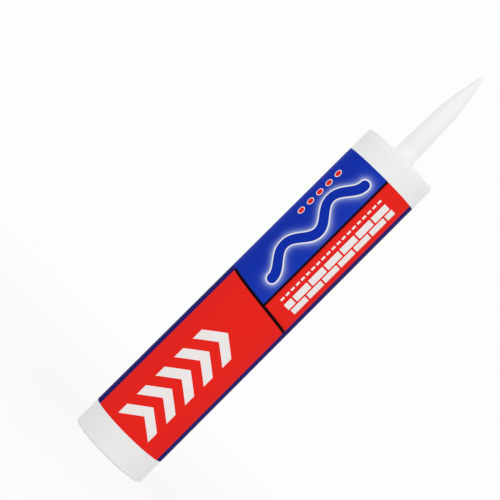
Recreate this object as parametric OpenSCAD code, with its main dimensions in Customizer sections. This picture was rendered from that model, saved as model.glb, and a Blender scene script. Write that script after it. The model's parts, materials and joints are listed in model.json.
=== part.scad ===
// Construction adhesive cartridge for a standard caulking gun, in millimetres.
// It stands on its rear rim with the nozzle up, and Z is the axis of every round piece.

/* [Barrel] */
// Outside diameter of the barrel at its rear rim
barrel_d = 49.9; // [46:0.1:53]
// How much smaller the outside radius is at the shoulder, as the draft of the moulding
barrel_draft = 0.7; // [0.3:0.05:1]
// Length from the rear rim to the shoulder face
barrel_len = 232; // [190:1:260]
// Wall of the barrel at the shoulder
barrel_wall = 1.15; // [0.9:0.05:1.6]
// Thickness of the flat shoulder
shoulder_t = 2.2; // [1.6:0.1:3]
// Outer rounding of the shoulder's edge
shoulder_r = 0.9; // [0.5:0.1:1.5]
// Inner rounding where the bore ends at the shoulder
bore_end_r = 2; // [1:0.1:3]
// Width of the flat land of the rear rim, inside its rounded outer edge
rim_land = 0.25; // [0.15:0.05:0.4]

/* [Rear opening] */
// Extra radius of the rear entry over the bore
entry_step = 0.5; // [0.2:0.05:0.6]
// Length of the cone that leads from the entry to the bore
entry_cone = 1.5; // [1:0.1:3]
// Clear length of bore between that cone and the plunger
entry_margin = 2; // [1:0.5:5]
// Chamfer of the mouth
mouth_chamfer = 0.2; // [0.1:0.05:0.3]

/* [Nozzle] */
// Diameter at the foot of the nozzle
nozzle_base_d = 13.8; // [12.5:0.1:18]
// Diameter at the knee, where the taper steepens
nozzle_knee_d = 11.3; // [10:0.1:12.5]
// Height of the knee over the shoulder face
nozzle_knee_h = 38; // [28:1:46]
// Height of the closed tip over the shoulder face
nozzle_len = 65; // [56:1:80]
// Diameter to which the upper taper runs at the tip's height
nozzle_end_d = 1.7; // [1.4:0.1:2.4]
// Rounding radius of the closed tip
nozzle_tip_r = 1.2; // [1.1:0.1:1.6]
// Radius of the bowed line of the upper taper
nozzle_bow_r = 280; // [180:10:600]
// Wall of the nozzle
nozzle_wall = 1.3; // [1:0.1:1.8]
// Solid length of the closed tip
nozzle_plug = 5; // [3:0.5:8]
// Fillet at the foot of the nozzle
nozzle_fillet = 3; // [1:0.1:4]

/* [Plunger] */
// Depth of the plunger's rear edge inside the barrel
plunger_set = 38; // [20:1:60]
// Length of the plunger
plunger_len = 16; // [13:0.5:24]
// Wall of the plunger's skirt
skirt_wall = 1.4; // [1:0.1:2]
// Thickness of the plunger's crown
crown_t = 1.6; // [1.2:0.1:2.4]
// How much wider than the bore's end the crown's edge is rounded
crown_relief = 1; // [0.5:0.1:1.5]
// Rounding inside the cup, between the skirt and the crown
cup_r = 1.5; // [0.5:0.1:2.5]
// Gap between a wiping lip and the bore
lip_gap = 0.1; // [0.05:0.01:0.2]
// Height of a wiping lip over the skirt
lip_h = 0.8; // [0.4:0.1:1.2]
// Width of a lip at its root
lip_root = 2.4; // [1.6:0.1:3]
// Width of a lip at its crest
lip_crest = 0.8; // [0.4:0.1:1.2]
// Number of wiping lips
lip_count = 3; // [2:1:3]
// Number of stiffening ribs behind the crown
rib_count = 8; // [4:1:12]
// Thickness of a rib and of the hub's wall
rib_t = 1.2; // [0.8:0.1:1.8]
// Outside diameter of the hub ring
hub_d = 18; // [12:0.5:26]
// Depth of the ribs behind the plunger's rear edge
rib_set = 4; // [2:0.5:6]

/* [Contents] */
// Diameter of the foil seal under the nozzle
seal_d = 24; // [18:0.5:36]
// Thickness of the foil seal
seal_t = 0.2; // [0.1:0.05:0.4]
// Gap between the paste and what holds it
paste_gap = 0.15; // [0.05:0.05:0.3]

/* [Label] */
// Bare length of barrel behind the label
label_rear = 16.6; // [5:0.1:40]
// Bare length of barrel in front of the label
label_front = 15.6; // [5:0.1:40]
// Thickness of the label film
film_t = 0.12; // [0.08:0.01:0.3]
// Thickness of the glue under the film
glue_t = 0.05; // [0.03:0.01:0.1]

/* [Hidden] */
// Facets of a full turn
$fn = 128;
// Facets of the large circle that bows the nozzle's upper taper
bow_fn = 720;
// How far shapes run past each other where they are joined or cut
lap = 1;
// Share of a rounding's radius by which its circle crosses the cone beside it
round_bite = 0.02;

barrel_r = barrel_d / 2;
barrel_slope = barrel_draft / barrel_len;
front_r = barrel_r - barrel_draft;
bore_r = front_r - barrel_wall;
bore_top = barrel_len - shoulder_t;
entry_r = bore_r + entry_step;
entry_len = plunger_set - entry_margin - entry_cone;
rim_r = barrel_r - entry_r - mouth_chamfer - rim_land;

base_r = nozzle_base_d / 2;
knee_r = nozzle_knee_d / 2;
end_r = nozzle_end_d / 2;
foot_slope = (base_r - knee_r) / nozzle_knee_h;

// Centre of the circle through the knee and the taper's end, with its bow outward
bow_chord = [end_r - knee_r, nozzle_len - nozzle_knee_h];
bow_middle = [(end_r + knee_r) / 2, (nozzle_len + nozzle_knee_h) / 2];
bow_normal = [bow_chord.y, -bow_chord.x] / norm(bow_chord);
bow_depth = sqrt(nozzle_bow_r * nozzle_bow_r - bow_chord * bow_chord / 4);
bow_centre = bow_middle - bow_normal * bow_depth;

lip_r = bore_r - lip_gap;
skirt_r = lip_r - lip_h;
crown_r = bore_end_r + crown_relief;
lip_pitch = (plunger_len - crown_r - lip_root) / (lip_count - 1);
hub_r = hub_d / 2;
rib_len = plunger_len - rib_set - crown_t / 2;

paste_r = bore_r - paste_gap;
paste_rear = plunger_set + plunger_len + paste_gap;
paste_top = bore_top - seal_t - paste_gap;

label_top = barrel_len - label_front;

// Radius of the barrel's outside at height z
function barrel_at(z) = barrel_r - barrel_slope * z;

// What lies outside a quarter circle of radius r, in the corner towards +X and +Y
module corner_2d(r) {
    difference() {
        square(r + lap);
        circle(r);
    }
}

module barrel_2d() {
    shoulder_z = barrel_len - shoulder_r;
    difference() {
        polygon([[0, 0], [barrel_r, 0], [front_r, barrel_len], [0, barrel_len]]);
        translate([barrel_at(shoulder_z) - shoulder_r * (1 - round_bite), shoulder_z]) corner_2d(shoulder_r);
        translate([barrel_at(rim_r) - rim_r * (1 - round_bite), rim_r]) mirror([0, 1]) corner_2d(rim_r);
    }
}

// Cone of the nozzle's foot from the shoulder face to the knee, then a straight way up
module foot_2d(wall) {
    polygon([
        [0, -shoulder_t - lap],
        [base_r - wall, -shoulder_t - lap],
        [base_r - wall, 0],
        [knee_r - wall - foot_slope * lap, nozzle_knee_h + lap],
        [knee_r - wall - foot_slope * lap, nozzle_len + lap],
        [0, nozzle_len + lap]
    ]);
}

// Bowed upper taper, and all of the foot below it
module taper_2d(wall) {
    translate(bow_centre) circle(nozzle_bow_r - wall, $fn = bow_fn);
    translate([0, -shoulder_t - 2 * lap]) square([barrel_r, shoulder_t + nozzle_knee_h + lap]);
}

// Rounded end of the closed tip, and all of the nozzle below it
module tip_2d() {
    translate([0, nozzle_len - nozzle_tip_r]) circle(nozzle_tip_r);
    translate([0, -lap]) square([barrel_r, nozzle_len - nozzle_tip_r + lap]);
}

module foot_fillet_2d() {
    reach = base_r - foot_slope * nozzle_fillet + nozzle_fillet * (1 - round_bite);
    difference() {
        translate([0, -lap]) square([reach, nozzle_fillet + lap]);
        translate([reach, nozzle_fillet]) circle(nozzle_fillet);
    }
}

module nozzle_2d() {
    intersection() {
        foot_2d(0);
        taper_2d(0);
        tip_2d();
    }
    foot_fillet_2d();
}

// Hollow of the nozzle, one wall inside its outline and shut before the tip
module channel_2d() {
    intersection() {
        foot_2d(nozzle_wall);
        taper_2d(nozzle_wall);
        translate([0, -shoulder_t - lap]) square([barrel_r, shoulder_t + lap + nozzle_len - nozzle_plug]);
    }
}

// Bore with its rounded end, wider at the rear, with a chamfered mouth
module bore_2d() {
    difference() {
        translate([0, -lap]) square([bore_r, bore_top + lap]);
        translate([bore_r - bore_end_r, bore_top - bore_end_r]) corner_2d(bore_end_r);
    }
    polygon([
        [0, -lap],
        [entry_r, -lap],
        [entry_r, entry_len],
        [entry_r - 2 * entry_step, entry_len + 2 * entry_cone],
        [0, entry_len + 2 * entry_cone]
    ]);
    polygon([
        [0, -lap],
        [entry_r + mouth_chamfer + lap, -lap],
        [entry_r - lap, mouth_chamfer + lap],
        [0, mouth_chamfer + lap]
    ]);
}

module cartridge_body() {
    color("whitesmoke") rotate_extrude() difference() {
        union() {
            barrel_2d();
            translate([0, barrel_len]) nozzle_2d();
        }
        bore_2d();
        translate([0, barrel_len]) channel_2d();
    }
}

module label() {
    color("firebrick") rotate_extrude() translate([glue_t, 0]) polygon([
        [barrel_at(label_rear), label_rear],
        [barrel_at(label_rear) + film_t, label_rear],
        [barrel_at(label_top) + film_t, label_top],
        [barrel_at(label_top), label_top]
    ]);
}

module inner_seal() {
    color("silver") translate([0, 0, bore_top - seal_t]) cylinder(h = seal_t, d = seal_d);
}

module adhesive_fill() {
    color("tan") rotate_extrude() difference() {
        translate([0, paste_rear]) square([paste_r, paste_top - paste_rear]);
        translate([paste_r - bore_end_r, paste_top - bore_end_r]) corner_2d(bore_end_r);
    }
}

// Wiping lip, a ridge that stands out of the skirt at height z
module lip_2d(z) {
    translate([0, z]) polygon([
        [skirt_r - skirt_wall / 2, -lip_root / 2],
        [skirt_r, -lip_root / 2],
        [lip_r, -lip_crest / 2],
        [lip_r, lip_crest / 2],
        [skirt_r, lip_root / 2],
        [skirt_r - skirt_wall / 2, lip_root / 2]
    ]);
}

// Skirt and crown as one cup, open to the rear
module cup_2d() {
    difference() {
        square([skirt_r, plunger_len]);
        translate([skirt_r - crown_r, plunger_len - crown_r]) corner_2d(crown_r);
        difference() {
            translate([0, -lap]) square([skirt_r - skirt_wall, plunger_len - crown_t + lap]);
            translate([skirt_r - skirt_wall - cup_r, plunger_len - crown_t - cup_r]) corner_2d(cup_r);
        }
    }
}

module rib() {
    translate([hub_r - rib_t / 2, -rib_t / 2, rib_set])
        cube([skirt_r - skirt_wall / 2 - hub_r + rib_t / 2, rib_t, rib_len]);
}

module hub() {
    translate([0, 0, rib_set]) difference() {
        cylinder(h = rib_len, r = hub_r);
        translate([0, 0, -lap]) cylinder(h = rib_len + 2 * lap, r = hub_r - rib_t);
    }
}

module plunger() {
    color("white") translate([0, 0, plunger_set]) {
        rotate_extrude() {
            cup_2d();
            for (i = [0 : lip_count - 1]) lip_2d(lip_root / 2 + i * lip_pitch);
        }
        hub();
        for (i = [0 : rib_count - 1]) rotate(i * 360 / rib_count) rib();
    }
}

cartridge_body();
label();
inner_seal();
adhesive_fill();
plunger();
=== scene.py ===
"""Looks of a construction adhesive cartridge, drawn in metres in the frame of its solids."""
import json
import logging
import math
from collections.abc import Sequence
from dataclasses import dataclass, field
from enum import Enum

import bpy
import numpy as np
from mathutils import Matrix, Vector


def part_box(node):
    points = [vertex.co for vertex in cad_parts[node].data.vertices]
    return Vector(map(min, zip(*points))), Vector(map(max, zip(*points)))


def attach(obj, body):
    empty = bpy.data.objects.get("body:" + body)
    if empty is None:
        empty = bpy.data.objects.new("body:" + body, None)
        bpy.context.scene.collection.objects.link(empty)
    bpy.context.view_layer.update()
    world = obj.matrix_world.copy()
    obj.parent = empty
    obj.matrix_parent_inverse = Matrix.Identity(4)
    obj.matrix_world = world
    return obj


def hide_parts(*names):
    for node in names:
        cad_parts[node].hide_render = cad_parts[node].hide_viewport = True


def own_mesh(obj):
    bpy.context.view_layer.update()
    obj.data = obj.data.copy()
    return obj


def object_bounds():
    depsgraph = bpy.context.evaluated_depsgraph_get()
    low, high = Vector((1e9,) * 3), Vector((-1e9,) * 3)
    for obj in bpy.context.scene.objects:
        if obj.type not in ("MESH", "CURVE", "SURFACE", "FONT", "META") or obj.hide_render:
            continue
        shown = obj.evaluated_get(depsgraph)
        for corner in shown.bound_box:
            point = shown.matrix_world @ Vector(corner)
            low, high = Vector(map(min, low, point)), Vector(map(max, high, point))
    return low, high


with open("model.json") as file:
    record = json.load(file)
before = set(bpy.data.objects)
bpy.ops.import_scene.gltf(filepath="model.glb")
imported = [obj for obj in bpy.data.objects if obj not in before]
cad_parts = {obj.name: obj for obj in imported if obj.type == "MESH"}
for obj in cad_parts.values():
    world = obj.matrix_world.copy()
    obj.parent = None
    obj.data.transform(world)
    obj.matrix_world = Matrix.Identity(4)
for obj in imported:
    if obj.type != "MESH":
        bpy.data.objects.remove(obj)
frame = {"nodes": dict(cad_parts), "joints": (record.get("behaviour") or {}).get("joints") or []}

LOG = logging.getLogger("cartridge")
CAD_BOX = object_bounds()
MM = 0.001

# The body that carries the barrel, the label and the paste
CARTRIDGE = "cartridge"

# The map that a print is drawn on, and the map that fills a square with the whole surface
PRINT_MAP = "UVMap"
SQUARE_MAP = "OFBake"

# Curve of screen colours: a straight line up to the toe, and a power above it
TOE = 0.04045
TOE_SLOPE = 12.92
LIFT = 0.055
POWER = 2.4

Color = tuple[float, float, float, float]

# A colour that nodes work out, or a constant one
Shade = bpy.types.NodeSocket | Color


class Slot(Enum):
    """Names of the record's material slots: body, label and paste."""

    BODY = "body"
    LABEL = "label"
    PASTE = "paste"


def ink(red: int, green: int, blue: int) -> Color:
    """Turns an 8-bit screen colour into the linear colour that a shader takes.

    Args:
        red: Red, 0 to 255.
        green: Green, 0 to 255.
        blue: Blue, 0 to 255.

    Returns:
        The linear colour with full cover: a power curve above the toe, a straight line in it.
    """
    screen = np.array([red, green, blue]) / 255
    value = np.where(screen <= TOE, screen / TOE_SLOPE, ((screen + LIFT) / (1 + LIFT)) ** POWER)
    return (float(value[0]), float(value[1]), float(value[2]), 1.0)


def put_in_scene(name: str, data: bpy.types.ID) -> bpy.types.Object:
    """Makes an object and links it to the scene.

    Args:
        name: The object's name.
        data: Its mesh, lamp or camera.

    Returns:
        The object.
    """
    made = bpy.data.objects.new(name, data)
    bpy.context.scene.collection.objects.link(made)
    return made


@dataclass(frozen=True)
class Corner:
    """One corner of a turned outline, in millimetres, with the radius that rounds it."""

    r: float
    z: float
    round: float = 0.0


@dataclass
class Outline:
    """Half section of a turned piece: corners joined by straight lines and rounded by arcs.

    Attributes:
        corners: The corners in order, the first and last of them on the axis.
        arc_steps: Steps of each rounding arc.
        hold: Distance from an arc's end to the ring that keeps the flat beside it flat, in mm.
        long: Length from which a straight line gets such rings, in mm.
    """

    corners: Sequence[Corner]
    arc_steps: int = 8
    hold: float = 0.3
    long: float = 1.8

    def _arc(self, before: np.ndarray, at: np.ndarray, after: np.ndarray, radius: float) -> np.ndarray:
        """Rounds one corner with the circle that touches both of its lines.

        Args:
            before: The corner before, as r and z.
            at: The corner to round.
            after: The corner after.
            radius: Radius of the arc, or 0 for a sharp corner.

        Returns:
            Points from one line to the other: the centre plus the radius, turned in even steps.
        """
        if radius == 0:
            return at[None, :]
        back = (before - at) / np.linalg.norm(before - at)
        ahead = (after - at) / np.linalg.norm(after - at)
        half = math.acos(float(np.clip(back @ ahead, -1, 1))) / 2
        middle = (back + ahead) / np.linalg.norm(back + ahead)
        centre = at + middle * radius / math.sin(half)
        start = at + back * radius / math.tan(half) - centre
        end = at + ahead * radius / math.tan(half) - centre
        turn = math.atan2(start[0] * end[1] - start[1] * end[0], float(start @ end))
        angle = math.atan2(start[1], start[0]) + turn * np.linspace(0, 1, self.arc_steps + 1)
        return centre + radius * np.stack([np.cos(angle), np.sin(angle)], axis=1)

    def points(self) -> np.ndarray:
        """Works out the outline.

        Returns:
            Points as r and z, in metres, with holding rings at the ends of long straight lines.
        """
        place = np.array([[c.r, c.z] for c in self.corners])
        arcs = [place[:1]]
        for i in range(1, len(self.corners) - 1):
            arcs.append(self._arc(place[i - 1], place[i], place[i + 1], self.corners[i].round))
        arcs.append(place[-1:])
        stretches = [arcs[0]]
        for last, this in zip(arcs[:-1], arcs[1:]):
            run = this[0] - last[-1]
            length = float(np.linalg.norm(run))
            if length > self.long:
                stretches.append(last[-1:] + run * self.hold / length)
                stretches.append(this[:1] - run * self.hold / length)
            stretches.append(this)
        return np.concatenate(stretches) * MM


def quad_corners(grid: np.ndarray) -> np.ndarray:
    """Gives the four corners of each cell of a grid, in order round the cell.

    Args:
        grid: Values at the grid's crossings, by row and column: vertex numbers, or places on a map.

    Returns:
        The corners' values, one row of four for each cell.
    """
    corners = np.stack([grid[:-1, :-1], grid[:-1, 1:], grid[1:, 1:], grid[1:, :-1]], axis=2)
    return corners.reshape(-1, 4, *grid.shape[2:])


@dataclass
class Surface:
    """One closed surface as whole arrays.

    Attributes:
        points: Vertices, n by 3, in metres.
        faces: Arrays of vertex numbers, each of faces with as many corners.
        maps: Flat maps by name, with the place of every corner in the order of the faces.
    """

    points: np.ndarray
    faces: list[np.ndarray]
    maps: dict[str, list[np.ndarray]]

    def volume(self) -> float:
        """Works out the volume.

        Returns:
            The signed volumes, added up, of the cones from the origin to each triangle of a fan.
        """
        total = 0.0
        for faces in self.faces:
            a = self.points[faces[:, 0]]
            for k in range(1, faces.shape[1] - 1):
                b, c = self.points[faces[:, k]], self.points[faces[:, k + 1]]
                total += float(np.einsum("ij,ij->", a, np.cross(b, c))) / 6
        return total

    def to_object(self, name: str, crease_deg: float = 35.0) -> bpy.types.Object:
        """Puts the surface into a mesh object, with its faces turned outwards.

        Args:
            name: Name of the object and its mesh.
            crease_deg: Edges sharper than this stay sharp in the shading.

        Returns:
            The new object, linked to the scene.
        """
        order = 1 if self.volume() > 0 else -1
        faces = [f[:, ::order] for f in self.faces]
        loops = np.concatenate([f.ravel() for f in faces])
        sides = np.concatenate([np.full(len(f), f.shape[1]) for f in faces])
        mesh = bpy.data.meshes.new(name)
        mesh.vertices.add(len(self.points))
        mesh.vertices.foreach_set("co", self.points.astype(np.float32).ravel())
        mesh.loops.add(len(loops))
        mesh.loops.foreach_set("vertex_index", loops.astype(np.int32))
        mesh.polygons.add(len(sides))
        starts = np.cumsum(sides) - sides
        mesh.polygons.foreach_set("loop_start", starts.astype(np.int32))
        mesh.polygons.foreach_set("use_smooth", np.ones(len(sides), bool))
        mesh.update(calc_edges=True)
        for map_name, corners in self.maps.items():
            layer = mesh.uv_layers.new(name=map_name)
            places = np.concatenate([c[:, ::order].reshape(-1, 2) for c in corners])
            layer.data.foreach_set("uv", places.astype(np.float32).ravel())
        mesh.validate()
        mesh.set_sharp_from_angle(angle=math.radians(crease_deg))
        return put_in_scene(name, mesh)


def lathe(outline: np.ndarray, turns: int) -> Surface:
    """Turns an outline about Z: x = r cos a, y = r sin a, and z as it is, with both poles closed.

    Args:
        outline: Points as r and z, in metres, the first and last of them on the axis.
        turns: Steps of a full turn.

    Returns:
        The closed surface: rings of quads, and a fan of triangles at each pole. Its square map has the
        share of a turn across and the share of the outline's length up.
    """
    angle = np.linspace(0, 2 * np.pi, turns, endpoint=False)
    r, z = outline[1:-1, :1], outline[1:-1, 1:]
    grid = np.stack([r * np.cos(angle), r * np.sin(angle), z + 0 * angle], axis=-1)
    poles = np.array([[0, 0, outline[0, 1]], [0, 0, outline[-1, 1]]])
    index = np.arange(grid.shape[0] * turns).reshape(-1, turns)
    rings = np.concatenate([index, index[:, :1]], axis=1)
    pole = np.full(turns, index.size)
    start = np.stack([rings[0, 1:], rings[0, :-1], pole], axis=1)
    end = np.stack([rings[-1, :-1], rings[-1, 1:], pole + 1], axis=1)
    steps = np.linalg.norm(np.diff(outline, axis=0), axis=1)
    up = np.concatenate([[0], np.cumsum(steps)]) / steps.sum()
    across = np.linspace(0, 1, turns + 1)
    square = np.stack(np.meshgrid(across, up), axis=-1)
    middle = (square[:, :-1] + square[:, 1:]) / 2
    maps = [
        quad_corners(square[1:-1]),
        np.stack([square[1, 1:], square[1, :-1], middle[0]], axis=1),
        np.stack([square[-2, :-1], square[-2, 1:], middle[-1]], axis=1),
    ]
    return Surface(np.concatenate([grid.reshape(-1, 3), poles]), [quad_corners(rings), start, end],
                   {SQUARE_MAP: maps})


@dataclass(frozen=True)
class Wire:
    """One number in a node tree: arithmetic on it adds Math nodes.

    Attributes:
        socket: The output that gives the number.
    """

    socket: bpy.types.NodeSocket

    def math(self, operation: str, *others: "Wire | float", clamp: bool = False) -> "Wire":
        """Adds one Math node.

        Args:
            operation: The node's operation.
            others: Its further inputs, as wires or numbers.
            clamp: Whether the result is kept between 0 and 1.

        Returns:
            The node's result.
        """
        node = add_node(self.socket.id_data, "Math")
        node.operation = operation
        node.use_clamp = clamp
        for socket, value in zip(node.inputs, (self, *others)):
            plug(socket, value)
        return Wire(node.outputs[0])

    def __add__(self, other: "Wire | float") -> "Wire":
        """Gives the sum."""
        return self.math("ADD", other)

    def __sub__(self, other: "Wire | float") -> "Wire":
        """Gives the difference."""
        return self.math("SUBTRACT", other)

    def __mul__(self, other: "Wire | float") -> "Wire":
        """Gives the product."""
        return self.math("MULTIPLY", other)

    def __truediv__(self, other: "Wire | float") -> "Wire":
        """Gives the quotient."""
        return self.math("DIVIDE", other)

    def __abs__(self) -> "Wire":
        """Gives the size without the sign."""
        return self.math("ABSOLUTE")

    def less_from(self, whole: float) -> "Wire":
        """Gives what is left of a whole."""
        return (self * -1) + whole

    def least(self, other: "Wire | float") -> "Wire":
        """Gives the smaller of two, which is where both of two shapes are."""
        return self.math("MINIMUM", other)

    def most(self, other: "Wire | float") -> "Wire":
        """Gives the larger of two, which is where either of two shapes is."""
        return self.math("MAXIMUM", other)

    def hypot(self, other: "Wire") -> "Wire":
        """Gives the long side of a right triangle from its two short ones."""
        return (self * self + other * other).math("SQRT")

    def span(self, low: float, high: float) -> "Wire":
        """Stretches 0..1 to low..high."""
        return self.math("MULTIPLY_ADD", high - low, low)

    def bar(self, width: float) -> "Wire":
        """Gives the depth inside a bar about 0: positive up to half its width, negative outside."""
        return abs(self).less_from(width / 2)

    def within(self, low: float, high: float) -> "Wire":
        """Gives the depth inside a stretch: positive between low and high, negative outside."""
        return (self - (low + high) / 2).bar(high - low)

    def row(self, low: float, count: int, pitch: float) -> "Wire":
        """Gives the depth inside a row of repeats, the first of them centred on low."""
        return self.within(low - pitch / 2, low + (count - 0.5) * pitch)

    def folded(self, pitch: float) -> "Wire":
        """Gives the place in a repeat, from minus half a pitch to plus half a pitch."""
        return self.math("WRAP", pitch / 2, -pitch / 2)

    def cover(self, soft: float) -> "Wire":
        """Turns a depth inside a shape into cover from 0 to 1, over an edge of the given softness."""
        return self.math("MULTIPLY_ADD", 1 / soft, 0.5, clamp=True)

    def fading(self, reach: float) -> "Wire":
        """Turns a distance into cover: 1 up to 0, and beyond it e to the minus distance over reach."""
        return (self.most(0.0) * (-1 / reach)).math("EXPONENT")


# What an input of a node can be fed
Value = Wire | Shade | float


def plug(socket: bpy.types.NodeSocket, value: Value) -> None:
    """Feeds one input of a node.

    Args:
        socket: The input.
        value: A wire or an output to link to it, or a constant to set it to.
    """
    source = value.socket if isinstance(value, Wire) else value
    if isinstance(source, bpy.types.NodeSocket):
        socket.id_data.links.new(source, socket)
    else:
        socket.default_value = source


def feed(node: bpy.types.Node, **values: Value) -> None:
    """Feeds inputs of a node.

    Args:
        node: The node.
        values: Wires, outputs or constants by the input's name, with _ for each space.
    """
    for name, value in values.items():
        plug(node.inputs[name.replace("_", " ")], value)


def add_node(tree: bpy.types.NodeTree, kind: str, **values: Value) -> bpy.types.Node:
    """Adds a shader node.

    Args:
        tree: The node tree.
        kind: The node's kind.
        values: What its inputs are fed.

    Returns:
        The node.
    """
    node = tree.nodes.new(f"ShaderNode{kind}")
    feed(node, **values)
    return node


@dataclass(frozen=True)
class Texture:
    """Noise that varies a finish over the surface.

    Attributes:
        scale: Cells per metre.
        detail: Octaves of finer noise.
        depth: Depth of the bump, in metres.
        strength: How much of the bump shows.
    """

    scale: float
    detail: float
    depth: float = 0.0
    strength: float = 0.0


@dataclass
class Recipe:
    """A node-based material under construction.

    Attributes:
        name: The material's name.
        kind: Kind of its shader.
        material: The material.
        tree: Its node tree.
        shader: Its shader.
    """

    name: str
    kind: str = "BsdfPrincipled"
    material: bpy.types.Material = field(init=False)
    tree: bpy.types.NodeTree = field(init=False)
    shader: bpy.types.ShaderNode = field(init=False)

    def __post_init__(self) -> None:
        """Makes the material with its shader and nothing else."""
        self.material = bpy.data.materials.new(self.name)
        self.material.use_nodes = True
        self.tree = self.material.node_tree
        self.tree.nodes.clear()
        self.shader = add_node(self.tree, self.kind)
        add_node(self.tree, "OutputMaterial", Surface=self.shader.outputs[0])

    def place(self, own_map: bool = False) -> bpy.types.NodeSocket:
        """Gives the place on the piece: Object coordinates, or its own map."""
        return add_node(self.tree, "TexCoord").outputs["UV" if own_map else "Object"]

    def axis(self, name: str, own_map: bool = False) -> Wire:
        """Gives one coordinate of the place on the piece.

        Args:
            name: X, Y or Z.
            own_map: Whether the place is on the piece's own map.

        Returns:
            The coordinate, in metres.
        """
        node = add_node(self.tree, "SeparateXYZ", Vector=self.place(own_map))
        return Wire(node.outputs[name])

    def noise(self, texture: Texture) -> Wire:
        """Adds noise on Object coordinates.

        Args:
            texture: Its scale and detail.

        Returns:
            The noise, about 0 to 1.
        """
        node = add_node(self.tree, "TexNoise", Vector=self.place(), Scale=texture.scale,
                        Detail=texture.detail)
        return Wire(node.outputs[0])

    def mix(self, under: Shade, over: Shade, cover: Wire) -> bpy.types.NodeSocket:
        """Lays one colour over another.

        Args:
            under: The colour below, as a socket or a constant.
            over: The colour above.
            cover: How much of the upper colour shows.

        Returns:
            The mixed colour.
        """
        node = add_node(self.tree, "Mix", Factor=cover)
        node.data_type = "RGBA"
        colors = (socket for socket in node.inputs if socket.type == "RGBA")
        for socket, value in zip(colors, (under, over)):
            plug(socket, value)
        return next(s for s in node.outputs if s.type == "RGBA")

    def bump(self, height: Wire, texture: Texture) -> bpy.types.NodeSocket:
        """Turns a height into a bumped normal.

        Args:
            height: Height from 0 to 1.
            texture: Depth and strength of the bump.

        Returns:
            The normal.
        """
        node = add_node(self.tree, "Bump", Height=height, Distance=texture.depth, Strength=texture.strength)
        return node.outputs["Normal"]


@dataclass(frozen=True)
class Polyethylene:
    """Satin white moulding: cloudy within a hair, finely grained, and slightly translucent.

    Attributes:
        name: The material's name.
        pale: Colour of the paler clouds.
        deep: Colour of the deeper clouds.
        smooth: Least roughness.
        rough: Greatest roughness.
        gloss: Level of the surface reflection.
        glow: Share of light that scatters under the surface.
        glow_depth: How far it scatters, in metres.
        filled_to: Height in metres below which the paste behind the wall dims it, or None.
        dim: Colour that the paste gives the wall.
        dim_share: How much of that colour shows.
        foot: Heights in metres of the nozzle's foot, where painted light whitens the colour, or None.
        painted_bounce_light: Colour of the painted light that stands in for light bounced from the
            shoulder.
        soft: Height in metres over which either colour fades out.
        clouds: The clouds.
        grain: The grain.
    """

    name: str
    pale: Color
    deep: Color
    smooth: float = 0.38
    rough: float = 0.48
    gloss: float = 0.15
    glow: float = 0.1
    glow_depth: float = 0.0008
    filled_to: float | None = None
    dim: Color = ink(205, 205, 204)
    dim_share: float = 0.18
    foot: tuple[float, float] | None = None
    # Painted light: a whiter colour on the nozzle's foot, standing in for light bounced from the shoulder
    painted_bounce_light: Color = ink(252, 252, 252)
    soft: float = 0.006
    clouds: Texture = Texture(scale=30.0, detail=2.0)
    grain: Texture = Texture(scale=1800.0, detail=3.0, depth=0.00003, strength=0.08)

    def build(self) -> bpy.types.Material:
        """Makes the material.

        Returns:
            The material: clouds in the colour, dimmed where it is filled, painted light that whitens the
            foot in place of light bounced from the shoulder, and grain in the surface.
        """
        recipe = Recipe(self.name)
        grain = recipe.noise(self.grain)
        color = recipe.mix(self.deep, self.pale, recipe.noise(self.clouds))
        if self.filled_to is not None:
            filled = recipe.axis("Z").less_from(self.filled_to).cover(self.soft)
            color = recipe.mix(color, self.dim, filled * self.dim_share)
        # Painted light: whitens the nozzle's foot as if lit by light bounced from the shoulder
        if self.foot is not None:
            color = recipe.mix(color, self.painted_bounce_light, recipe.axis("Z").within(*self.foot).cover(self.soft))
        feed(recipe.shader, Base_Color=color, Roughness=grain.span(self.smooth, self.rough),
             Normal=recipe.bump(grain, self.grain), Specular_IOR_Level=self.gloss,
             Subsurface_Weight=self.glow, Subsurface_Scale=self.glow_depth,
             Subsurface_Radius=(1.0, 1.0, 1.0))
        return recipe.material


@dataclass(frozen=True)
class Mottled:
    """Finish of one noise that varies its colour, sheen and surface together.

    Attributes:
        name: The material's name.
        pale: Colour of what stands up.
        deep: Colour of what lies low.
        smooth: Least roughness.
        rough: Greatest roughness.
        texture: The noise.
        metal: 1 for metal, 0 for the rest.
    """

    name: str
    pale: Color
    deep: Color
    smooth: float
    rough: float
    texture: Texture
    metal: float = 0.0

    def build(self) -> bpy.types.Material:
        """Makes the material.

        Returns:
            The material.
        """
        recipe = Recipe(self.name)
        height = recipe.noise(self.texture)
        feed(recipe.shader, Base_Color=recipe.mix(self.deep, self.pale, height),
             Roughness=height.span(self.smooth, self.rough), Normal=recipe.bump(height, self.texture),
             Metallic=self.metal)
        return recipe.material


@dataclass(frozen=True)
class Inks:
    """The inks of the label.

    Attributes:
        red: Panel and dots.
        ground: Dark ground round the panel.
        blue: Block at its far side, and bead.
        blue_pale: Block at its near side.
        glow: Glow round the bead.
        white: Chevrons, bricks and lines.
        black: Rules and shades.
    """

    red: Color = ink(231, 38, 31)
    ground: Color = ink(12, 10, 104)
    blue: Color = ink(17, 47, 167)
    blue_pale: Color = ink(31, 60, 180)
    glow: Color = ink(168, 186, 232)
    white: Color = ink(238, 234, 232)
    black: Color = ink(20, 8, 12)


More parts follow.
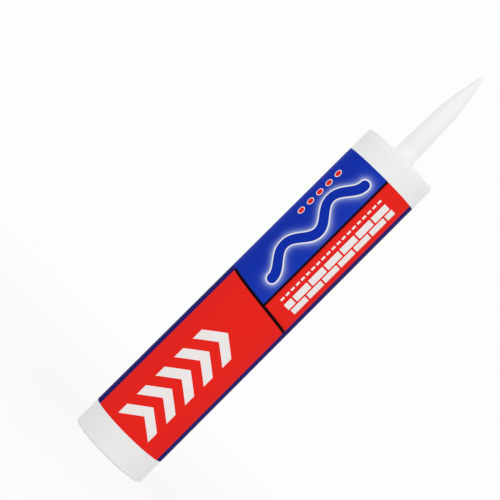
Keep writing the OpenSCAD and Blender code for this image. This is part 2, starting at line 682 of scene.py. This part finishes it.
@dataclass
class PrintSheet:
    """The label in print: its material, the place on the label's own map, and the colours so far.

    Attributes:
        recipe: The material under construction.
        inks: Its inks.
        across: Arc from the middle of the front in millimetres, positive towards +X.
        along: Height over the rear rim in millimetres.
        edge: Softness of every printed edge in millimetres.
        color: The print so far.
    """

    recipe: Recipe
    inks: Inks
    across: Wire
    along: Wire
    edge: float = 0.12
    color: Shade = field(init=False)

    def __post_init__(self) -> None:
        """Starts with the plain ground."""
        self.color = self.inks.ground

    def wash(self, color: Shade, cover: Wire) -> None:
        """Lays a colour over the print by its cover, from 0 to 1."""
        self.color = self.recipe.mix(self.color, color, cover)

    def lay(self, color: Shade, depth: Wire) -> None:
        """Lays a colour over the print wherever the depth inside a shape is positive."""
        self.wash(color, depth.cover(self.edge))


@dataclass(frozen=True)
class ColorFields:
    """Red front panel on a dark ground, with a blue block and black rules. Sizes in millimetres.

    Attributes:
        panel_half: Half width of the red panel.
        rule_along: Height of the slanted rule at the middle of the panel.
        rule_slant: How far the rule falls for each millimetre across.
        rule_w: Width of the slanted rule.
        stripe_across: Place of the straight rule between the block and the red band beside it.
        stripe_w: Width of the straight rule.
        shade_w: Reach of the shade that both rules throw on the red band.
        shade: Depth of that shade beside the rules.
        melt_across: Place at the side where the block melts into the ground.
        melt_w: Width over which it melts.
    """

    panel_half: float = 27.4
    rule_along: float = 120.0
    rule_slant: float = 0.111
    rule_w: float = 1.8
    stripe_across: float = 3.2
    stripe_w: float = 1.3
    shade_w: float = 0.4
    shade: float = 0.6
    melt_across: float = -58.0
    melt_w: float = 24.0

    def _past_rule(self, sheet: PrintSheet) -> Wire:
        """Gives the height over the slanted rule's middle."""
        return sheet.along + sheet.across * self.rule_slant - self.rule_along

    def draw_blues(self, sheet: PrintSheet) -> None:
        """Draws the block on the ground: past the slanted rule and before the straight one.

        Args:
            sheet: The label in print.
        """
        block = self._past_rule(sheet).least((sheet.across - self.stripe_across) * -1)
        cover = block.cover(sheet.edge) * (sheet.across - self.melt_across).cover(self.melt_w)
        fade = sheet.across.cover(2 * self.panel_half)
        sheet.wash(sheet.recipe.mix(sheet.inks.blue, sheet.inks.blue_pale, fade), cover)

    def draw_reds(self, sheet: PrintSheet) -> None:
        """Draws the red panel round the block, the shade on its band, and both rules.

        Args:
            sheet: The label in print.
        """
        panel = sheet.across.bar(2 * self.panel_half)
        past_rule = self._past_rule(sheet)
        past_stripe = sheet.across - self.stripe_across
        beside_block = (past_rule * -1).most(past_stripe)
        sheet.lay(sheet.inks.red, panel.least(beside_block))
        band = (past_rule - self.rule_w / 2).least(past_stripe - self.stripe_w / 2)
        shade = band.fading(self.shade_w) * self.shade
        sheet.wash(sheet.inks.black, shade * band.least(panel).cover(sheet.edge))
        slanted = past_rule.bar(self.rule_w).least(panel)
        straight = past_stripe.bar(self.stripe_w).least(past_rule)
        sheet.lay(sheet.inks.black, slanted.most(straight))


@dataclass(frozen=True)
class Chevrons:
    """A row of white chevrons that point to the nozzle. Sizes in millimetres.

    Attributes:
        low: Height of the first chevron's point.
        count: Number of chevrons.
        half: Reach of the arms to each side.
        pitch: Distance from chevron to chevron.
        width: Width of an arm, along the label.
        rake: How far the arms fall for each millimetre across.
    """

    low: float = 34.0
    count: int = 5
    half: float = 12.0
    pitch: float = 14.5
    width: float = 7.0
    rake: float = 0.75

    def draw(self, sheet: PrintSheet) -> None:
        """Draws bands of the height plus the rake times the distance from the middle.

        Args:
            sheet: The label in print.
        """
        raked = sheet.along + abs(sheet.across) * self.rake
        band = (raked - self.low).folded(self.pitch).bar(self.width)
        row = raked.row(self.low, self.count, self.pitch)
        arms = sheet.across.bar(2 * self.half)
        sheet.lay(sheet.inks.white, band.least(row).least(arms))


@dataclass(frozen=True)
class Bead:
    """A glowing bead of adhesive, laid in a wave with round ends. Sizes in millimetres.

    Attributes:
        across: Place of the wave's middle line.
        low: Height at which the wave starts.
        waves: Number of waves.
        wave: Length of a wave.
        swing: How far the wave swings to each side.
        half: Half width of the bead.
        line: Width of the white line round it.
        glow_w: Reach of the glow round the line.
        glow: Strength of the glow beside the line.
    """

    across: float = -9.0
    low: float = 134.0
    waves: float = 2.0
    wave: float = 36.0
    swing: float = 4.6
    half: float = 2.9
    line: float = 0.7
    glow_w: float = 1.2
    glow: float = 0.85

    def _away(self, sheet: PrintSheet) -> Wire:
        """Works out the distance from a cosine wave, from the offset, the slope and the way past the ends.

        Args:
            sheet: The label in print.

        Returns:
            The distance in millimetres.
        """
        inside = sheet.along.most(self.low).least(self.low + self.waves * self.wave)
        turn = 2 * math.pi / self.wave
        phase = (inside - self.low) * turn
        sway = phase.math("COSINE") * self.swing
        slope = phase.math("SINE") * (self.swing * turn)
        aside = (sheet.across - self.across - sway) / (slope * slope + 1).math("SQRT")
        return aside.hypot(sheet.along - inside)

    def draw_glow(self, sheet: PrintSheet) -> None:
        """Draws the glow, which fades as a power of the distance from the bead's line.

        Args:
            sheet: The label in print.
        """
        outside = self._away(sheet) - (self.half + self.line)
        sheet.wash(sheet.inks.glow, outside.fading(self.glow_w) * self.glow)

    def draw(self, sheet: PrintSheet) -> None:
        """Draws the blue bead with the white line round it.

        Args:
            sheet: The label in print.
        """
        away = self._away(sheet)
        sheet.lay(sheet.inks.white, away.less_from(self.half + self.line))
        sheet.lay(sheet.inks.blue, away.less_from(self.half))


@dataclass(frozen=True)
class Dots:
    """A short row of red dots with white lines round them. Sizes in millimetres.

    Attributes:
        across: Place of the row.
        low: Height of the first dot.
        count: Number of dots.
        pitch: Distance from dot to dot.
        radius: Radius of a dot.
        line: Width of the line round it.
    """

    across: float = -22.6
    low: float = 172.0
    count: int = 5
    pitch: float = 7.2
    radius: float = 1.9
    line: float = 0.5

    def draw(self, sheet: PrintSheet) -> None:
        """Draws circles of the distance to the nearest place in the row.

        Args:
            sheet: The label in print.
        """
        row = sheet.along.row(self.low, self.count, self.pitch)
        away = (sheet.across - self.across).hypot((sheet.along - self.low).folded(self.pitch))
        sheet.lay(sheet.inks.white, away.less_from(self.radius + self.line).least(row))
        sheet.lay(sheet.inks.red, away.less_from(self.radius).least(row))


@dataclass(frozen=True)
class Bricks:
    """Courses of white bricks in running bond, with a line of dashes beside them. Sizes in millimetres.

    Attributes:
        low: Height at which the courses start.
        count: Number of bricks in a course.
        near: Place of the first course's near side.
        courses: Number of courses.
        width: Width of a course.
        length: Length of a brick.
        gap: Gap between bricks and between courses.
        dash_across: Place of the line of dashes.
        dash_w: Width of a dash.
        dash_len: Length of a dash.
        dash_count: Number of dashes.
    """

    low: float = 128.0
    count: float = 6.5
    near: float = 11.4
    courses: int = 2
    width: float = 4.6
    length: float = 11.0
    gap: float = 1.2
    dash_across: float = 8.2
    dash_w: float = 1.2
    dash_len: float = 2.6
    dash_count: int = 20

    def draw(self, sheet: PrintSheet) -> None:
        """Draws bricks and dashes as repeats along the label, each course half a brick on.

        Args:
            sheet: The label in print.
        """
        pitch = self.length + self.gap
        run = self.count * pitch
        start = sheet.along - self.low
        reach = start.within(0, run)
        dash_pitch = run / self.dash_count
        dash = (start - dash_pitch / 2).folded(dash_pitch).bar(self.dash_len)
        shapes = dash.least((sheet.across - self.dash_across).bar(self.dash_w))
        for course in range(self.courses):
            near = self.near + course * (self.width + self.gap)
            brick = (start - course * pitch / 2).folded(pitch).bar(self.length)
            shapes = shapes.most(brick.least(sheet.across.within(near, near + self.width)))
        sheet.lay(sheet.inks.white, shapes.least(reach))


@dataclass(frozen=True)
class LabelPrint:
    """Matt film printed with plain fields of colour and simple shapes.

    Attributes:
        name: The material's name.
        inks: The inks.
        fields: The fields of colour.
        chevrons: The chevrons on the red panel.
        bead: The bead on the blue block.
        dots: The dots beside the bead.
        bricks: The bricks on the red band.
        smooth: Least roughness.
        rough: Greatest roughness.
        gloss: Level of the surface reflection.
        mottle: Unevenness of the inks.
        mottle_least: Least share of black that it mixes in.
        mottle_most: Greatest share of black that it mixes in.
        haze: Unevenness of the roughness.
        ripple: Ripples in the film.
    """

    name: str = "printed_film"
    inks: Inks = Inks()
    fields: ColorFields = ColorFields()
    chevrons: Chevrons = Chevrons()
    bead: Bead = Bead()
    dots: Dots = Dots()
    bricks: Bricks = Bricks()
    smooth: float = 0.4
    rough: float = 0.5
    gloss: float = 0.01
    mottle: Texture = Texture(scale=260.0, detail=3.0)
    mottle_least: float = -0.02
    mottle_most: float = 0.06
    haze: Texture = Texture(scale=700.0, detail=3.0)
    ripple: Texture = Texture(scale=160.0, detail=1.0, depth=0.00004, strength=0.15)

    def build(self) -> bpy.types.Material:
        """Makes the material.

        Returns:
            The material: the glow and the fields first, and then each row of shapes over them.
        """
        recipe = Recipe(self.name)
        across, along = (recipe.axis(name, own_map=True) * (1 / MM) for name in "XY")
        sheet = PrintSheet(recipe, self.inks, across, along)
        self.fields.draw_blues(sheet)
        self.bead.draw_glow(sheet)
        self.fields.draw_reds(sheet)
        for motif in (self.chevrons, self.bead, self.dots, self.bricks):
            motif.draw(sheet)
        sheet.wash(self.inks.black, recipe.noise(self.mottle).span(self.mottle_least, self.mottle_most))
        feed(recipe.shader, Base_Color=sheet.color,
             Roughness=recipe.noise(self.haze).span(self.smooth, self.rough),
             Normal=recipe.bump(recipe.noise(self.ripple), self.ripple), Specular_IOR_Level=self.gloss)
        return recipe.material


def dress(piece: bpy.types.Object, material: bpy.types.Material, node: str) -> None:
    """Finishes a new piece: its material, the body it rides on and the solid it stands for.

    Args:
        piece: The piece.
        material: Its material.
        node: The solid's node that it replaces.
    """
    piece.data.materials.append(material)
    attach(piece, CARTRIDGE)
    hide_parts(node)
    LOG.info("%s: %d faces on %s", piece.name, len(piece.data.polygons), CARTRIDGE)


@dataclass
class Moulding:
    """Barrel, flat shoulder and two-stage nozzle, moulded as one hollow piece. Sizes in millimetres.

    Attributes:
        barrel_r: Outer radius at the rear rim.
        draft: How much less the outer radius is at the shoulder.
        barrel_len: Height of the shoulder's face.
        wall: Wall of the barrel at the shoulder.
        shoulder_t: Thickness of the shoulder.
        shoulder_r: Rounding of the shoulder's edge.
        bore_end_r: Rounding of the bore's end.
        rim_land: Width of the rear rim's flat.
        entry_step: How much wider the bore is at the rear.
        entry_len: Length of that wider stretch.
        entry_cone: Length of the cone that leads on from it.
        mouth_chamfer: Chamfer of the mouth.
        base_r: Radius of the nozzle's foot.
        knee_r: Radius of the knee between the nozzle's two stages.
        knee_h: Height of the knee over the shoulder.
        nozzle_len: Height of the tip over the shoulder.
        end_r: Radius that the upper stage runs out to.
        tip_r: Radius of the ball that closes the tip.
        bow_r: Radius of the upper stage's bow.
        nozzle_wall: Wall of the nozzle.
        plug: Length that is solid behind the tip.
        fillet: Fillet at the nozzle's foot.
        painted_light_low: Height over the shoulder from which painted bounce light whitens the foot.
        painted_light_high: Height over the shoulder at which that painted light ends.
        knee_hold: Distance by which the rings that keep the knee crisp are placed.
        knee_rings: Places of those rings over the knee, in such distances.
        foot_hold: How far below the knee the foot's rings start.
        tip_steps: Steps of the tip's ball.
        bow_rings: Rings of the upper stage.
        foot_rings: Rings of the foot.
        hollow_rings: Rings of the hollow.
        turns: Steps of a full turn.
    """

    barrel_r: float = 24.95
    draft: float = 0.7
    barrel_len: float = 232.0
    wall: float = 1.15
    shoulder_t: float = 2.2
    shoulder_r: float = 0.9
    bore_end_r: float = 2.0
    rim_land: float = 0.25
    entry_step: float = 0.5
    entry_len: float = 34.5
    entry_cone: float = 1.5
    mouth_chamfer: float = 0.2
    base_r: float = 6.9
    knee_r: float = 5.65
    knee_h: float = 38.0
    nozzle_len: float = 65.0
    end_r: float = 0.85
    tip_r: float = 1.2
    bow_r: float = 280.0
    nozzle_wall: float = 1.3
    plug: float = 5.0
    fillet: float = 3.0
    # Heights of the painted light on the nozzle's foot, in place of light bounced from the shoulder
    painted_light_low: float = 3.0
    painted_light_high: float = 6.0
    knee_hold: float = 0.2
    knee_rings: tuple[int, ...] = (3, 1, -1, -3)
    foot_hold: float = 2.0
    tip_steps: int = 8
    bow_rings: int = 22
    foot_rings: int = 5
    hollow_rings: int = 30
    turns: int = 192

    def nozzle_radius(self, height: np.ndarray, wall: float) -> np.ndarray:
        """Gives the nozzle's radius: the least of the foot's cone, the bowed taper and the tip's ball.

        Args:
            height: Heights over the shoulder face.
            wall: How far inside the outer face the radius is taken.

        Returns:
            The radius at each height, never below 0.
        """
        cone = self.base_r - (self.base_r - self.knee_r) / self.knee_h * height - wall
        chord = np.array([self.end_r - self.knee_r, self.nozzle_len - self.knee_h])
        middle = np.array([self.end_r + self.knee_r, self.nozzle_len + self.knee_h]) / 2
        normal = np.array([chord[1], -chord[0]]) / np.linalg.norm(chord)
        centre = middle - normal * math.sqrt(self.bow_r ** 2 - chord @ chord / 4)
        bow = centre[0] + np.sqrt((self.bow_r - wall) ** 2 - (height - centre[1]) ** 2)
        over = np.clip(height - (self.nozzle_len - self.tip_r), 0, self.tip_r)
        ball = np.where(over > 0, np.sqrt(self.tip_r ** 2 - over ** 2), np.inf)
        taper = np.where(height > self.knee_h - self.foot_hold / 2, bow, np.inf)
        return np.maximum(np.minimum(np.minimum(cone, taper), ball), 0)

    def nozzle_corners(self, height: np.ndarray, wall: float) -> list[Corner]:
        """Gives the nozzle's corners at heights over the shoulder face, a wall inside its outer face."""
        return [Corner(r, self.barrel_len + h) for r, h in zip(self.nozzle_radius(height, wall), height)]

    def outline(self) -> np.ndarray:
        """Works out the half section, from the tip down the outside and back up the inside.

        Returns:
            Points as r and z, in metres.
        """
        front_r = self.barrel_r - self.draft
        bore_r = front_r - self.wall
        entry_r = bore_r + self.entry_step
        mouth_r = entry_r + self.mouth_chamfer
        rim_r = self.barrel_r - mouth_r - self.rim_land
        bore_top = self.barrel_len - self.shoulder_t
        ball = self.tip_r * np.cos(np.linspace(0, np.pi / 2, self.tip_steps + 1)[1:])
        knee = self.knee_h + self.knee_hold * np.array(self.knee_rings)
        rise = np.concatenate([
            self.nozzle_len - self.tip_r + ball,
            np.linspace(self.nozzle_len - 2 * self.tip_r, knee[0], self.bow_rings),
            knee[1:],
            np.linspace(self.knee_h - self.foot_hold, 2 * self.fillet, self.foot_rings),
        ])
        hollow_rise = np.linspace(0, self.nozzle_len - self.plug, self.hollow_rings)
        hollow = self.nozzle_corners(hollow_rise, self.nozzle_wall)
        return Outline([
            Corner(0, self.barrel_len + self.nozzle_len),
            *self.nozzle_corners(rise, 0),
            Corner(self.base_r, self.barrel_len, self.fillet),
            Corner(front_r, self.barrel_len, self.shoulder_r),
            Corner(self.barrel_r, 0, rim_r),
            Corner(mouth_r, 0),
            Corner(entry_r, self.mouth_chamfer),
            Corner(entry_r, self.entry_len),
            Corner(bore_r, self.entry_len + self.entry_cone),
            Corner(bore_r, bore_top, self.bore_end_r),
            Corner(hollow[0].r, bore_top),
            *hollow,
            Corner(0, self.barrel_len + self.nozzle_len - self.plug),
        ]).points()

    def build(self) -> bpy.types.Object:
        """Makes the moulding's mesh."""
        return lathe(self.outline(), self.turns).to_object("barrel_and_nozzle")

    def dress(self, piece: bpy.types.Object) -> None:
        """Gives the moulding its white polyethylene.

        Args:
            piece: The moulding.
        """
        # The nozzle's foot gets painted light, standing in for light bounced from the shoulder
        foot = ((self.barrel_len + self.painted_light_low) * MM, (self.barrel_len + self.painted_light_high) * MM)
        white = Polyethylene("white_polyethylene", pale=ink(242, 243, 243), deep=ink(238, 239, 239),
                             filled_to=(self.barrel_len - self.shoulder_t) * MM, foot=foot)
        dress(piece, white.build(), "cartridge_body")


@dataclass
class LabelWrap:
    """Film label wrapped once round the barrel, its ends lapped at the back. Sizes in millimetres.

    Attributes:
        barrel: What it is wrapped round.
        glue_t: Thickness of the glue under it.
        film_t: Thickness of the film.
        lap: How far the ends lap.
        ramp: Length over which the film rises to its lap.
        lap_rise: How far it rises, in film thicknesses.
        map_r: Radius at which the arc is measured.
        steps: Steps round the barrel.
        rows: Rows of points from the rear edge to the front edge.
    """

    barrel: Moulding
    glue_t: float = 0.05
    film_t: float = 0.055
    lap: float = 7.0
    ramp: float = 0.6
    lap_rise: float = 1.05
    map_r: float = 24.85
    steps: int = 400
    rows: int = 9

    def build(self) -> bpy.types.Object:
        """Makes the film as a closed strip.

        Its section is a loop of offset and height: up the outer face, down the inner one. The loop is
        carried round the axis from half a lap before the back to half a lap past it. Its radius is the
        barrel's at each height plus the glue, and it rises by a little over one film thickness, on a
        smooth ramp, where the end lies over the start.

        Returns:
            The label. Its print map has the arc across and the height up, in metres, and its square map
            the same as shares of the whole. Both faces of the film lie on the same place of a map.
        """
        half_turn = math.pi + self.lap / 2 / self.map_r
        angle = np.linspace(-half_turn, half_turn, self.steps + 1)
        arc = angle * self.map_r
        lapped = np.clip((arc - (math.pi * self.map_r - self.lap / 2 - self.ramp)) / self.ramp, 0, 1)
        rise = self.lap_rise * self.film_t * lapped * lapped * (3 - 2 * lapped)
        low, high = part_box("label")
        height = np.linspace(low.z, high.z, self.rows) / MM
        section_z = np.concatenate([height, height[::-1]])
        draft = self.barrel.draft / self.barrel.barrel_len * section_z
        section_r = self.barrel.barrel_r - draft + self.glue_t + np.repeat([self.film_t, 0.0], self.rows)
        r = rise[:, None] + section_r
        turn = angle[:, None]
        points = np.stack([r * np.sin(turn), -r * np.cos(turn), section_z + 0 * r], axis=-1)
        index = np.arange(r.size).reshape(r.shape)
        loops = np.concatenate([index, index[:, :1]], axis=1)
        start, end = (np.stack([row[:self.rows], row[:self.rows - 1:-1]], axis=1) for row in index[[0, -1]])
        faces = [quad_corners(loops), quad_corners(start), quad_corners(end[:, ::-1])]
        place = np.stack([arc[:, None] + 0 * r, section_z + 0 * r], axis=-1).reshape(-1, 2)
        share = (place - place.min(axis=0)) / np.ptp(place, axis=0)
        maps = {PRINT_MAP: [place[f] * MM for f in faces], SQUARE_MAP: [share[f] for f in faces]}
        return Surface(points.reshape(-1, 3) * MM, faces, maps).to_object("label_wrap")

    def dress(self, piece: bpy.types.Object) -> None:
        """Gives the film its print."""
        dress(piece, LabelPrint().build(), "label")


@dataclass
class PasteColumn:
    """Adhesive between the plunger and the shoulder, drawn at its solid's length, which the plunger
    shortens.

    Attributes:
        corner_r: Rounding at the shoulder, in millimetres.
        heel_r: Rounding at the plunger, in millimetres.
        turns: Steps of a full turn.
        joint: The plunger's joint, whose travel is read.
    """

    corner_r: float = 2.0
    heel_r: float = 0.3
    turns: int = 96
    joint: str = "plunger_slide"

    def build(self) -> bpy.types.Object:
        """Makes the column's mesh inside the box of its solid.

        Returns:
            The column.
        """
        low, high = (np.array(v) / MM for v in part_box("adhesive_fill"))
        outline = Outline([
            Corner(0, low[2]),
            Corner(high[0], low[2], self.heel_r),
            Corner(high[0], high[2], self.corner_r),
            Corner(0, high[2]),
        ]).points()
        return lathe(outline, self.turns).to_object("paste_column")

    def dress(self, piece: bpy.types.Object) -> None:
        """Gives the column its paste and its own mesh, and works out what the plunger's travel leaves of
        it.

        Args:
            piece: The column.
        """
        lumps = Texture(scale=120.0, detail=4.0, depth=0.0004, strength=0.5)
        paste = Mottled("beige_paste", pale=ink(222, 207, 178), deep=ink(206, 188, 156),
                        smooth=0.25, rough=0.4, texture=lumps)
        dress(piece, paste.build(), "adhesive_fill")
        low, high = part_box("adhesive_fill")
        joint = next(j for j in frame["joints"] if j["name"] == self.joint)
        left = 1 - joint["range_m"][1] / (high.z - low.z)
        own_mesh(piece)


def dress_solids() -> None:
    """Gives the solids that show as they are their own materials."""
    natural = Polyethylene("natural_polyethylene", pale=ink(236, 236, 231), deep=ink(229, 229, 222),
                           glow=0.3)
    creases = Texture(scale=400.0, detail=3.0, depth=0.0001, strength=0.5)
    foil = Mottled("sealing_foil", pale=ink(228, 228, 230), deep=ink(205, 206, 210),
                   smooth=0.2, rough=0.35, texture=creases, metal=1.0)
    for node, finish in (("plunger", natural), ("inner_seal", foil)):
        solid = frame["nodes"][node]
        solid.data.materials.clear()
        solid.data.materials.append(finish.build())
        LOG.info("%s: dressed as it is", node)


@dataclass(frozen=True)
class PhotoView:
    """The photograph's view: a long lens square to the barrel, rolled so the nozzle points up to the right.

    Attributes:
        reach: Distance of the camera in front of the axis, in metres.
        eye_z: Height of the camera, in metres.
        aim_x: Place across that it stands at and aims at, in metres.
        aim_z: Height that it aims at, in metres.
        lens_mm: Length of the lens, in millimetres.
        sensor_mm: Width of the sensor, in millimetres.
        roll_deg: How far the camera is rolled, in degrees.
    """

    reach: float = 1.104
    eye_z: float = 0.14955
    aim_x: float = -0.02377
    aim_z: float = 0.13605
    lens_mm: float = 141.4
    sensor_mm: float = 36.0
    roll_deg: float = 45.06

    def build(self) -> None:
        """Makes the camera and sets it as the scene's."""
        data = bpy.data.cameras.new("photo_view")
        data.lens = self.lens_mm
        data.sensor_width = self.sensor_mm
        camera = put_in_scene("photo_view", data)
        eye = Vector((self.aim_x, -self.reach, self.eye_z))
        ahead = (Vector((self.aim_x, 0, self.aim_z)) - eye).normalized()
        level = ahead.cross(Vector((0, 0, 1))).normalized()
        above = level.cross(ahead)
        roll = math.radians(self.roll_deg)
        right = level * math.cos(roll) + above * math.sin(roll)
        up = above * math.cos(roll) - level * math.sin(roll)
        turn = Matrix((right, up, -ahead)).transposed().to_4x4()
        camera.matrix_world = Matrix.Translation(eye) @ turn
        bpy.context.scene.camera = camera


@dataclass(frozen=True)
class Softbox:
    """One large square lamp that faces the cartridge.

    Attributes:
        name: The lamp's name.
        place: Its place, in metres.
        side: Its side, in metres.
        watts: Its power.
    """

    name: str
    place: tuple[float, float, float]
    side: float
    watts: float

    def build(self, aim: Vector) -> None:
        """Makes the lamp, hidden from the camera.

        Args:
            aim: The place that it is turned to.
        """
        data = bpy.data.lights.new(self.name, "AREA")
        data.size = self.side
        data.energy = self.watts
        lamp = put_in_scene(self.name, data)
        lamp.location = self.place
        lamp.rotation_euler = (aim - lamp.location).to_track_quat("-Z", "Y").to_euler()
        lamp.visible_camera = False


@dataclass(frozen=True)
class Studio:
    """White floor and backdrop with soft, even light.

    Attributes:
        floor_half: Half side of the floor, in metres.
        floor_z: Height of the floor, in metres.
        floor_color: Colour of the floor.
        white: Colour of the backdrop.
        backdrop: Brightness of the backdrop where it is seen.
        fill: Strength of the even light from all round.
        near_glow: Share of the backdrop's white that the floor shows near the cartridge.
        near: Distance up to which it shows that share, in metres.
        far: Distance from which the floor shows nothing else, in metres.
        softboxes: The lamps.
    """

    floor_half: float = 6.0
    floor_z: float = -0.0003
    floor_color: Color = (0.97, 0.97, 0.97, 1.0)
    white: Color = (1.0, 1.0, 1.0, 1.0)
    backdrop: float = 0.982
    fill: float = 0.8
    near_glow: float = 0.78
    near: float = 0.15
    far: float = 0.7
    softboxes: tuple[Softbox, ...] = (
        Softbox("front_left", (-0.9, -1.5, 0.7), side=1.0, watts=2.8),
        Softbox("front_right", (0.9, -1.5, 0.8), side=1.0, watts=3.7),
        Softbox("overhead", (0.0, -0.2, 1.6), side=1.2, watts=1.6),
    )

    @staticmethod
    def _seen(tree: bpy.types.NodeTree) -> Wire:
        """Finds the rays that see the backdrop: camera, glossy and transmission rays.

        Args:
            tree: The node tree that asks.

        Returns:
            1 for those rays, 0 for others.
        """
        path = add_node(tree, "LightPath")
        seen = Wire(path.outputs["Is Camera Ray"])
        for name in ("Is Glossy Ray", "Is Transmission Ray"):
            seen = seen.most(Wire(path.outputs[name]))
        return seen

    def _floor(self) -> None:
        """Makes the floor: matt near the cartridge, where it takes the shadow, and white further out."""
        corner = np.array([[-1, -1], [1, -1], [1, 1], [-1, 1]]) * self.floor_half
        points = np.column_stack([corner, np.full(4, self.floor_z)])
        mesh = bpy.data.meshes.new("floor")
        mesh.from_pydata(points.tolist(), [], [[0, 1, 2, 3]])
        recipe = Recipe("floor", "MixShader")
        away = add_node(recipe.tree, "VectorMath", Vector=recipe.place())
        away.operation = "LENGTH"
        spread = Wire(away.outputs["Value"]) - self.near
        reach = spread.math("DIVIDE", self.far - self.near, clamp=True)
        feed(recipe.shader, Fac=reach.span(self.near_glow, 1) * self._seen(recipe.tree))
        matt = add_node(recipe.tree, "BsdfDiffuse", Color=self.floor_color)
        white = add_node(recipe.tree, "Emission", Strength=self.backdrop)
        for socket, shader in zip(recipe.shader.inputs[1:], (matt, white)):
            plug(socket, shader.outputs[0])
        mesh.materials.append(recipe.material)
        put_in_scene("floor", mesh)

    def _world(self) -> None:
        """Makes the backdrop: white where it is seen, and a plain even light elsewhere."""
        world = bpy.data.worlds.new("studio")
        world.use_nodes = True
        tree = world.node_tree
        background = next(n for n in tree.nodes if n.type == "BACKGROUND")
        feed(background, Color=self.white, Strength=self._seen(tree).span(self.fill, self.backdrop))
        bpy.context.scene.world = world

    def build(self) -> None:
        """Makes the floor, the backdrop and the lamps."""
        self._floor()
        self._world()
        low, high = CAD_BOX
        for softbox in self.softboxes:
            softbox.build((low + high) / 2)
        bpy.context.scene.view_settings.view_transform = "Standard"


def main() -> None:
    """Builds the view, the studio and each piece in order."""
    logging.basicConfig(level=logging.INFO, format="%(name)s %(message)s")
    PhotoView().build()
    Studio().build()
    moulding = Moulding()
    for part in (moulding, LabelWrap(moulding), PasteColumn()):
        part.dress(part.build())
    dress_solids()


if __name__ == "__main__":
    main()
